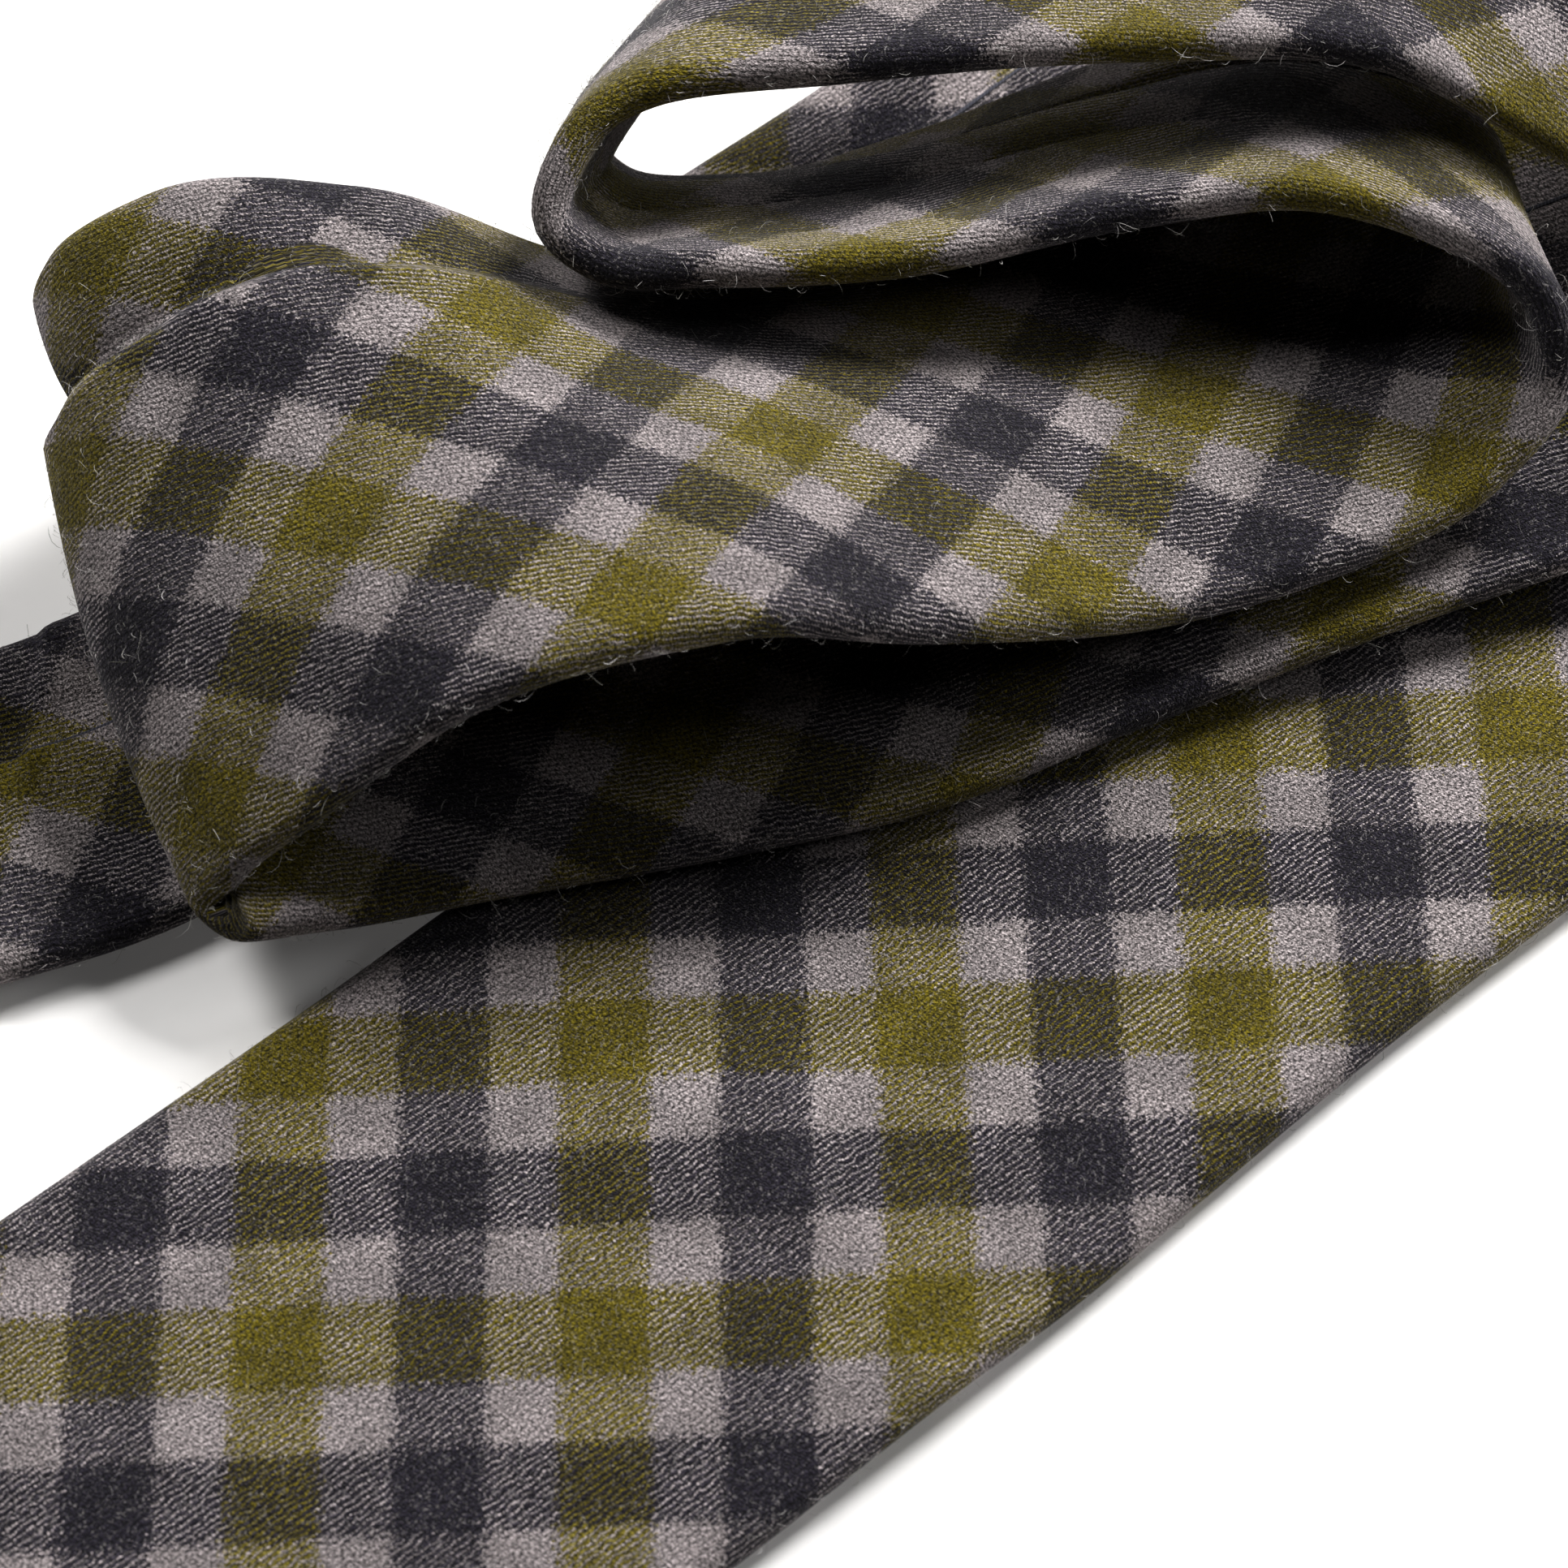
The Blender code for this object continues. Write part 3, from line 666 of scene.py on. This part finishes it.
def twill(shader, warp, weft):
    """Height of the 2/2 twill, and how far the warp stands over the weft."""
    warp_thread = shader.math("DIVIDE", warp, WARP_PITCH)
    weft_thread = shader.math("DIVIDE", weft, WEFT_PITCH)
    warp_height = float_height(shader, warp_thread, weft_thread, True)
    weft_height = float_height(shader, weft_thread, warp_thread, False)
    height = shader.math("MAXIMUM", warp_height, weft_height)
    return height, shader.math("SUBTRACT", warp_height, weft_height)


def cloth_brightness(shader, plain, speck, height):
    """Specks of the nap, painted shade where the threads dip with a little painted light on their crowns,
    and broad soft clouds.
    """
    specks = shader.remap(speck, 0.34, 0.66, 0.15, 2.0)
    # painted shade and light: the low parts of the weave darker, the crowns a little lighter
    painted_valley_shade = shader.remap(height, 0.0, 0.7, 0.55, 1.12)
    clouds = shader.remap(shader.noise(plain, 0.15, 2.0), 0.35, 0.65, 0.85, 1.15)
    return shader.math("MULTIPLY", shader.math("MULTIPLY", specks, painted_valley_shade), clouds)


def flannel():
    """Brushed 2/2 twill in the block check."""
    shader = Shader("check_flannel")
    warp = shader.attribute("warp_mm")
    weft = shader.attribute("weft_mm")
    plain = shader.vector(warp, weft)
    turned = shader.vector(weft, warp, 7.0)

    # the threads wander a little, and their fuzz blurs the edges of the stripes
    warp_stripe = shader.jitter(warp, shader.noise(plain, 2.0, 2.0, 0.7), STRIPE_BLUR)
    weft_stripe = shader.jitter(weft, shader.noise(turned, 2.0, 2.0, 0.7), STRIPE_BLUR)
    warp_colour = stripe_colour(shader, warp_stripe)
    weft_colour = stripe_colour(shader, weft_stripe)
    warp = shader.jitter(warp, shader.noise(plain, 0.8, 2.0, 0.5), THREAD_WANDER)
    weft = shader.jitter(weft, shader.noise(turned, 0.8, 2.0, 0.5), THREAD_WANDER)

    # which set of threads shows: the upper one, but more of the dark one
    height, lead = twill(shader, warp, weft)
    darker = shader.math("SUBTRACT", weft_colour, warp_colour)
    lead = shader.math("ADD", lead, shader.math("MULTIPLY", darker, DARK_LEAD))
    lead = shader.jitter(lead, shader.noise(plain, 2.4, 2.0, 0.7), BROKEN_LINES)
    woven = shader.mix(shader.remap(lead, -0.2, 0.2), weft_colour, warp_colour)

    # the nap: both sets of fibres carded together, thicker in some places than in others
    haze = shader.remap(shader.noise(plain, 1.3, 3.0, 0.7), 0.44, 0.64, 0.0, 0.55)
    brushed = shader.gamma(shader.mix(1.0, weft_colour, warp_colour, "MULTIPLY"), 0.5)
    colour = shader.mix(haze, woven, brushed)
    speck = shader.noise(plain, 3.0, 2.0, 0.8)
    colour = shader.scaled(colour, cloth_brightness(shader, plain, speck, height))
    dusting = shader.remap(shader.noise(turned, 2.8, 2.0, 0.8), 0.56, 0.70, 0.0, 0.35)
    colour = shader.mix(dusting, colour, FUZZ)

    normal = shader.bump(height, 0.6, 0.00020)
    normal = shader.bump(speck, 0.7, 0.00030, normal)
    return shader.finish(colour, 0.95, normal, 0.18, (0.8, 0.78, 0.78, 1.0))


def fibre_material():
    """Loose wool fibres standing off the cloth, mostly pale."""
    shader = Shader("loose_fibre")
    tone = shader.attribute("tone")
    colour = shader.mix(tone, (0.16, 0.16, 0.12, 1.0), (0.66, 0.63, 0.62, 1.0))
    return shader.finish(colour, 0.8, None, 0.2)


def thread_material(name, color, pitch):
    """Spun thread: a fine slanted twist, with painted shade in its grooves."""
    shader = Shader(name)
    node = shader.tree.nodes.new("ShaderNodeTexCoord")
    wave = shader.tree.nodes.new("ShaderNodeTexWave")
    wave.inputs["Scale"].default_value = pitch
    wave.inputs["Distortion"].default_value = 2.0
    shader.feed(wave.inputs["Vector"], node.outputs["Object"])
    # painted shade: the grooves of the twist take the darker colour
    dark = tuple(0.55 * c for c in color) + (1.0,)
    colour = shader.mix(wave.outputs["Fac"], dark, (*color, 1.0))
    normal = shader.bump(wave.outputs["Fac"], 0.5, 0.0001)
    return shader.finish(colour, 0.75, normal, 0.2)


def woven_material(name, color, pitch, roughness, sheen):
    """Plain or satin cloth seen only at the open ends: a fine over-and-under grid, with painted shade in
    its hollows.
    """
    shader = Shader(name)
    coordinates = shader.tree.nodes.new("ShaderNodeTexCoord")
    split = shader.tree.nodes.new("ShaderNodeSeparateXYZ")
    shader.feed(split.inputs[0], coordinates.outputs["Object"])
    rows = shader.math("SINE", shader.math("MULTIPLY", split.outputs[0], 2 * math.pi / pitch))
    columns = shader.math("SINE", shader.math("MULTIPLY", split.outputs[1], 2 * math.pi / pitch))
    grid = shader.math("ADD", shader.math("MULTIPLY", rows, columns), 1.0)
    flecks = shader.noise(coordinates.outputs["Object"], 900.0, 3.0, 0.6)
    # painted shade: the grid's hollows darker; the flecks are random tone
    shade = shader.remap(shader.math("ADD", grid, flecks), 0.0, 3.0, 0.7, 1.1)
    colour = shader.scaled((*color, 1.0), shade)
    normal = shader.bump(grid, 0.4, 0.0001)
    return shader.finish(colour, roughness, normal, sheen)


def floor_material():
    """Plain pale tabletop."""
    shader = Shader("pale_table")
    coordinates = shader.tree.nodes.new("ShaderNodeTexCoord")
    grain = shader.noise(coordinates.outputs["Object"], 400.0, 2.0)
    tint = shader.remap(grain, 0.3, 0.7, 0.985, 1.0)
    colour = shader.scaled((0.93, 0.915, 0.90, 1.0), tint)
    shader.surface.inputs["Emission Color"].default_value = (1.0, 0.985, 0.97, 1.0)
    shader.surface.inputs["Emission Strength"].default_value = 0.07
    return shader.finish(colour, 0.8)


# ---------------------------------------------------------------- the pieces

RING_STEP = 1.0          # from one ring of a swept piece to the next
SEAM_ROUNDING = 1.2      # the cloth rolls in over this length at a bias seam
SEAM_PINCH = 0.35        # and loses this share of its thickness
FIBRE_RADIUS = 0.022     # about; it varies from strand to strand
FIBRE_STEPS = (0.0, 0.28, 0.55, 0.8, 1.0)
STRAND_CORNERS = 11      # two points and three three-sided rings between them
EDGE_FIBRES = 4.0        # how much thicker the loose fibres stand on the rolled edges
WIDE = 99.0              # more than half the tie's width

# The thread that closes the back, and the whipped stitch: lowest and highest, then left and right.
CLOSING_HEIGHTS = (0.55, 0.8)
CLOSING_PLACES = (-LAP - 0.8, -LAP - 0.4)
WHIPPING_ENDS = (BLADE_OPEN - 6.4, BLADE_OPEN - 5.2)
WHIPPING_HEIGHTS = (0.1, 0.6)
WHIPPING_PLACES = (-2.4, 2.4)


def cut_distances(start, stop):
    """Even ring distances from start to stop."""
    count = int(round((stop - start) / RING_STEP)) + 1
    return np.linspace(start, stop, count)


def seam_pinch(along, v):
    """Heights in the section with the cloth drawn in at the two bias seams."""
    pinch = bell(along, BLADE_SEAM, SEAM_ROUNDING) + bell(along, TAIL_SEAM, SEAM_ROUNDING)
    return THICK / 2 + (v - THICK / 2) * (1.0 - SEAM_PINCH * pinch[:, None])


def cloth(name, start, stop, material):
    """One length of the outer cloth."""
    along = cut_distances(start, stop)
    u, v, width, _ = tube_section(along)
    points = place(along, u, seam_pinch(along, v))
    around = np.concatenate([[along[0] - RING_STEP], along, [along[-1] + RING_STEP]]).clip(0.0, LENGTH)
    wide_u, wide_v, _, _ = tube_section(around)
    normals = grid_normals(place(around, wide_u, seam_pinch(around, wide_v)))[1:-1]
    thing = tube_object(name, points, material, normals)
    warp, weft = thread_coordinates(along[:, None], u, width)
    set_point_values(thing.data, "warp_mm", warp)
    set_point_values(thing.data, "weft_mm", weft)
    return thing


def strip(name, start, stop, low, high, left, right, material, across_points=5):
    """A thin strip inside or on the back of the tie, between two heights and two places across it.

    It keeps LINING_SIDE away from the tie's edges.
    """
    along = cut_distances(start, stop)
    half = ROUTE.frames(along)[3][:, None]
    share = np.linspace(0.0, 1.0, across_points)[None, :]
    u_left = np.maximum(left, -(half - LINING_SIDE))
    u_right = np.minimum(right, half - LINING_SIDE)
    bottom = u_left + (u_right - u_left) * share
    u = np.concatenate([bottom, bottom[:, ::-1]], axis=1)
    v = np.concatenate([np.full_like(bottom, low), np.full_like(bottom, high)], axis=1)
    return tube_object(name, place(along, u, v), material)


def fibre_roots(draw, points, outer, count):
    """Random places on the outside of the cloth, more on the rolled edges, with the way up at each."""
    normals = grid_normals(points)
    side = points[1:, 1:outer] - points[:-1, :outer - 1]
    area = np.linalg.norm(side, axis=-1) ** 2
    rolled = np.abs(normals[:-1, :outer - 1, 2]) < 0.75
    weight = np.minimum(area, np.median(area) * 4.0) * np.where(rolled, EDGE_FIBRES, 1.0)
    pick = draw.choice(weight.size, count, p=(weight / weight.sum()).ravel())
    ring, spot = np.unravel_index(pick, weight.shape)
    ahead, beside = draw.random((2, count, 1))
    root = (points[ring, spot] * (1 - ahead) * (1 - beside)
            + points[ring + 1, spot] * ahead * (1 - beside)
            + points[ring, spot + 1] * (1 - ahead) * beside
            + points[ring + 1, spot + 1] * ahead * beside)
    return root, normals[ring, spot]


def fibre_strands(draw, root, up):
    """The corners of each strand, along a spine that rises from the cloth, curls and comes down."""
    count = len(root)
    lie = np.cross(up, draw.normal(size=(count, 3)))
    lie /= np.linalg.norm(lie, axis=1)[:, None]
    turn = np.cross(up, lie)
    length = draw.gamma(3.0, 0.45, (count, 1)).clip(0.5, 3.2) * MM
    rise = draw.uniform(0.10, 0.60, (count, 1)) * length
    curl = draw.normal(0.0, 0.45, (count, 1)) * length
    thick = draw.uniform(0.6, 1.2, (count, 1)) * FIBRE_RADIUS * MM
    spine = [root - up * 0.1 * MM + lie * length * t * (1.0 - 0.35 * t) + turn * curl * t * t
             + up * rise * math.sin(2.2 * t) for t in FIBRE_STEPS]
    corners = [spine[0]]
    for middle in spine[1:-1]:
        for k in range(3):
            angle = 2 * math.pi * k / 3
            corners.append(middle + thick * (math.cos(angle) * up + math.sin(angle) * turn))
    corners.append(spine[-1])
    return np.stack(corners, axis=1)


def strand_faces(count):
    """The triangles of every strand."""
    pattern = [(0, 1 + (c + 1) % 3, 1 + c) for c in range(3)]
    for ring in (1, 4):
        for c in range(3):
            d = (c + 1) % 3
            pattern.append((ring + c, ring + d, ring + 3 + d))
            pattern.append((ring + c, ring + 3 + d, ring + 3 + c))
    pattern += [(10, 7 + c, 7 + (c + 1) % 3) for c in range(3)]
    first = STRAND_CORNERS * np.arange(count)
    return (np.array(pattern)[None] + first[:, None, None]).reshape(-1, 3)


def fibres(name, start, stop, count, seed):
    """Loose wool fibres on one length of cloth: thin pointed strands."""
    draw = np.random.default_rng(seed)
    along = cut_distances(start, stop)
    u, v, _, outer = tube_section(along)
    root, up = fibre_roots(draw, place(along, u, seam_pinch(along, v)), outer, count)
    corners = fibre_strands(draw, root, up)
    thing = mesh_object(name, corners.reshape(-1, 3).tolist(), strand_faces(count).tolist(), FIBRE)
    set_point_values(thing.data, "tone", np.repeat(draw.random(count) ** 0.7, STRAND_CORNERS))
    return thing


def bend_at(thing):
    """Bakes the piece's placement into its mesh points; the piece keeps its shape and place."""
    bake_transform(thing)


FLANNEL = flannel()
FIBRE = fibre_material()
WADDING = woven_material("wool_interlining", (0.70, 0.67, 0.60), 0.0008, 0.95, 0.3)
SATIN = woven_material("satin_tipping", (0.035, 0.035, 0.055), 0.0003, 0.35, 0.1)
TAPE = woven_material("label_tape", (0.60, 0.58, 0.53), 0.0005, 0.8, 0.1)
SEWING = thread_material("sewing_thread", (0.07, 0.07, 0.09), 900.0)

# Where the lengths part: clear of the stretches that bend, so that both sides of a cut move alike.
TIP_END = TIP_HINGE + 22.0
END_END = 300.0
TAIL_START = 1225.0
TAIL_MIDDLE = TAIL_HINGE + 90.0

# name, start, stop, how it moves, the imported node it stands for, and its loose fibres
LENGTHS = [
    ("blade_tip_flannel", 0.0, TIP_END, "blade_curl", "blade_tip_cloth", 700),
    ("blade_end_flannel", TIP_END, END_END, "blade_lift", "blade_end_cloth", 4000),
    ("blade_flannel", END_END, BLADE_SEAM, "pile", "blade_cloth", 14000),
    ("neck_flannel", BLADE_SEAM, TAIL_SEAM, "pile", "neck_cloth", 3000),
    ("tail_flannel", TAIL_SEAM, TAIL_START, "pile", "tail_cloth", 400),
    ("tail_end_flannel", TAIL_START, TAIL_MIDDLE, "tail_lift", "tail_end_cloth", 600),
    ("tail_tip_flannel", TAIL_MIDDLE, LENGTH, "tail_curl", "tail_tip_cloth", 900),
]

# the same for the wool inside the tie
WADDINGS = [
    ("blade_tip_wadding", 6.0, TIP_END, "blade_curl", "blade_tip_interlining"),
    ("blade_end_wadding", TIP_END, END_END, "blade_lift", "blade_end_interlining"),
    ("wadding", END_END, TAIL_START, "pile", "interlining"),
    ("tail_end_wadding", TAIL_START, TAIL_MIDDLE, "tail_lift", "tail_end_interlining"),
    ("tail_tip_wadding", TAIL_MIDDLE, LENGTH - 6.0, "tail_curl", "tail_tip_interlining"),
]

# and for the long thread that closes the back
STITCHES = [
    ("blade_end_closing_thread", TIP_END, END_END, "blade_lift", "blade_end_slip_stitch"),
    ("closing_thread", END_END, TAIL_START, "pile", "slip_stitch"),
    ("tail_end_closing_thread", TAIL_START, TAIL_TIP, "tail_lift", "tail_end_slip_stitch"),
]


def carry(thing, motion):
    """Rides on the pile, or else stays where it is with its placement baked in."""
    if motion == "pile":
        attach(thing, "pile")
    else:
        bend_at(thing)


def make_cloth():
    """The lengths of flannel, each with its nap."""
    for seed, (name, start, stop, motion, node, count) in enumerate(LENGTHS):
        length = cloth(name, start, stop, FLANNEL)
        nap = fibres(name.replace("flannel", "nap"), start, stop, count, seed)
        carry(length, motion)
        carry(nap, motion)
        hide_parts(node)


def make_lining():
    """The wool inside, the thread that closes the back, and the whipped stitch at the blade's opening.

    A strip stops at the tie's edges, so the wool is only asked to be wider than the tie.
    """
    for name, start, stop, motion, node in WADDINGS:
        lining = strip(name, start, stop, LINING_LOW, LINING_HIGH, -WIDE, WIDE, WADDING, FACE_POINTS)
        carry(lining, motion)
        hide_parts(node)
    for name, start, stop, motion, node in STITCHES:
        closing = strip(name, start, stop, *CLOSING_HEIGHTS, *CLOSING_PLACES, SEWING)
        carry(closing, motion)
        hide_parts(node)
    whipping = strip("blade_whipped_stitch", *WHIPPING_ENDS, *WHIPPING_HEIGHTS, *WHIPPING_PLACES, SEWING)
    carry(whipping, "blade_curl")
    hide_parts("blade_bar_tack")


def dress_nodes():
    """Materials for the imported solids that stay: named by the last word; the rest are sewn stitches."""
    materials = {"tipping": SATIN, "label": TAPE, "tape": TAPE, "loop": WADDING}
    for node_name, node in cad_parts.items():
        node.data.materials.clear()
        node.data.materials.append(materials.get(node_name.split("_")[-1], SEWING))


make_cloth()
make_lining()
dress_nodes()


# ---------------------------------------------------------------- floor, light and camera

# Places and sizes here are in metres.
CAMERA_ELEVATION = math.radians(61.0)
CAMERA_DISTANCE = 0.5
LENS_MM = 116.5
FLOOR_SIDE = 6.0
FLOOR_LEVEL = -0.00012


def table():
    """A wide pale floor just under the cloth."""
    square = ((-1, -1), (1, -1), (1, 1), (-1, 1))
    corners = [(x * FLOOR_SIDE, y * FLOOR_SIDE, FLOOR_LEVEL) for x, y in square]
    floor = mesh_object("table", corners, [(0, 1, 2, 3)], floor_material())


def area_light(name, place_at, size, watts):
    """A square soft light that looks at the pile."""
    lamp = bpy.data.lights.new(name, "AREA")
    lamp.size = size
    lamp.energy = watts
    thing = bpy.data.objects.new(name, lamp)
    bpy.context.scene.collection.objects.link(thing)
    thing.location = place_at
    thing.rotation_euler = (-Vector(place_at)).to_track_quat("-Z", "Y").to_euler()


def world_light(strength):
    """Even pale surroundings."""
    world = bpy.data.worlds.new("studio")
    world.use_nodes = True
    background = world.node_tree.nodes["Background"]
    background.inputs["Color"].default_value = (1.0, 0.99, 0.98, 1.0)
    background.inputs["Strength"].default_value = strength
    bpy.context.scene.world = world


def camera():
    """Looks down at the middle of the pile, with the cloth in focus."""
    data = bpy.data.cameras.new("camera")
    data.lens = LENS_MM
    data.sensor_width = 36.0
    data.clip_start = 0.01
    data.clip_end = 20.0
    data.dof.use_dof = True
    data.dof.focus_object = bpy.data.objects["blade_flannel"]
    data.dof.aperture_fstop = 36.0
    thing = bpy.data.objects.new("camera", data)
    bpy.context.scene.collection.objects.link(thing)
    thing.location = (0.0, -CAMERA_DISTANCE * math.cos(CAMERA_ELEVATION),
                      CAMERA_DISTANCE * math.sin(CAMERA_ELEVATION))
    thing.rotation_euler = (math.pi / 2 - CAMERA_ELEVATION, 0.0, 0.0)
    bpy.context.scene.camera = thing


table()
# the key light stands behind the pile on the right, a weaker one behind on the left, a weak one at the side
area_light("key", (0.60, 0.82, 0.88), 0.5, 31.0)
area_light("top", (-0.75, 0.60, 1.0), 0.4, 13.0)
area_light("side", (1.0, 0.15, 0.60), 0.4, 3.5)
world_light(0.006)
camera()
bpy.context.scene.view_settings.view_transform = "Standard"
bpy.context.scene.view_settings.gamma = 0.88  # under 1, so the middle tones are darker
